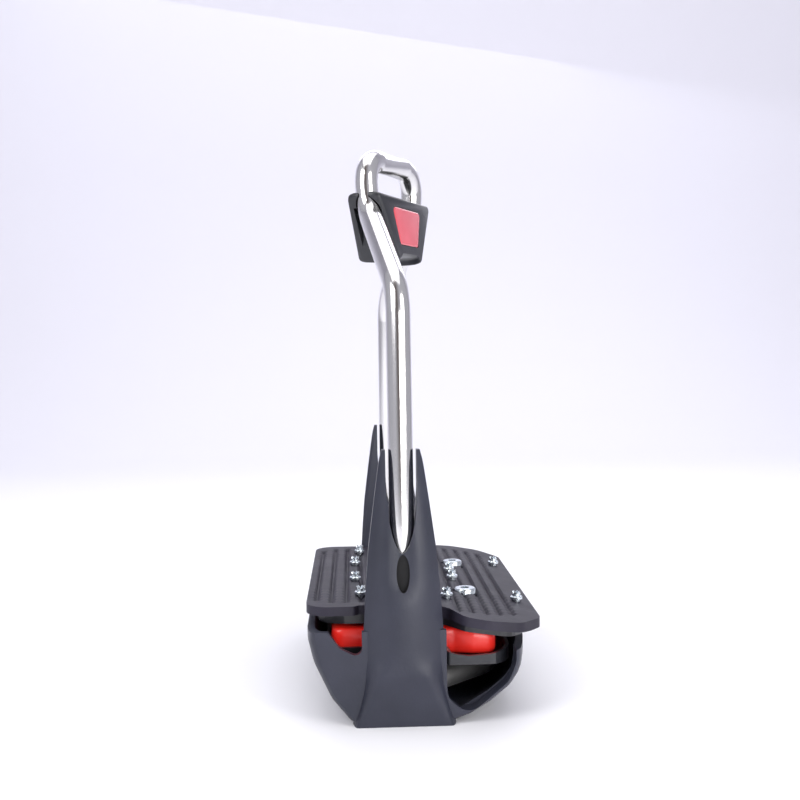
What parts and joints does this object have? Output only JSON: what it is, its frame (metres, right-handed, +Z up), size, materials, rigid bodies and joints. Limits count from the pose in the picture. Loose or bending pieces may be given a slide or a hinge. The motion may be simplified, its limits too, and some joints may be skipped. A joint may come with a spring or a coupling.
{
  "type": "riding stirrup",
  "caption": "Riding stirrup with a bent steel-rod frame, a turned leather eye, a forked composite base and a studded tread cushioned on elastomer blocks.",
  "frame": {"origin": "centre of the base's footprint, on the ground under it", "axes": "+X along the rider's foot towards the falling edge of the tread, +Y from one leg of the frame to the other, +Z up"},
  "size_m": [0.077, 0.139, 0.1916],
  "materials": {
    "steel": "mirror polished stainless",
    "composite": "fine matte, black",
    "plastic": "satin black",
    "zinc": "bright zinc",
    "brass": "machined",
    "elastomer": "glossy red elastomer",
    "badge": "plain gloss red",
    "rubber": "matte ribbed rubber"
  },
  "bodies": {
    "frame": {"steel_frame": "steel", "base_shell": "composite", "cushion_tray": "plastic", "frame_saddle_near": "plastic", "frame_saddle_far": "plastic", "saddle_screw_near": "zinc", "saddle_screw_far": "zinc", "tray_screw_1": "zinc", "tray_screw_2": "zinc", "tray_screw_3": "zinc", "tray_screw_4": "zinc", "cushion_near": "elastomer", "cushion_far": "elastomer", "clip_front": "plastic", "clip_rear": "plastic", "clip_badge": "badge", "clip_screw_near": "zinc", "clip_screw_far": "zinc", "clip_nut_near": "zinc", "clip_nut_far": "zinc"},
    "press": {"tread_screw_near": "zinc", "tread_screw_far": "zinc", "cushion_insert_near": "brass", "cushion_insert_far": "brass"},
    "tread": {"tread_plate": "plastic", "tread_pad": "rubber", "grip_stud_1": "zinc", "grip_stud_2": "zinc", "grip_stud_3": "zinc", "grip_stud_4": "zinc", "grip_stud_5": "zinc", "grip_stud_6": "zinc", "grip_stud_7": "zinc", "grip_stud_8": "zinc", "grip_stud_9": "zinc", "grip_stud_10": "zinc"}
  },
  "joints": [
    {"name": "tread_compress", "type": "slide", "parent": "frame", "child": "press", "axis": [0, 0, 1], "range_m": [-0.0015, 0], "stiffness_N_per_m": 60000, "deforming": ["cushion_near", "cushion_far"]},
    {"name": "tread_tilt", "type": "hinge", "parent": "press", "child": "tread", "pos_m": [0.0164, 0, 0.0319], "axis": [0, 1, 0], "range_deg": [-1.5, 1.5], "stiffness_Nm_per_rad": 60, "deforming": ["cushion_near", "cushion_far"]}
  ]
}
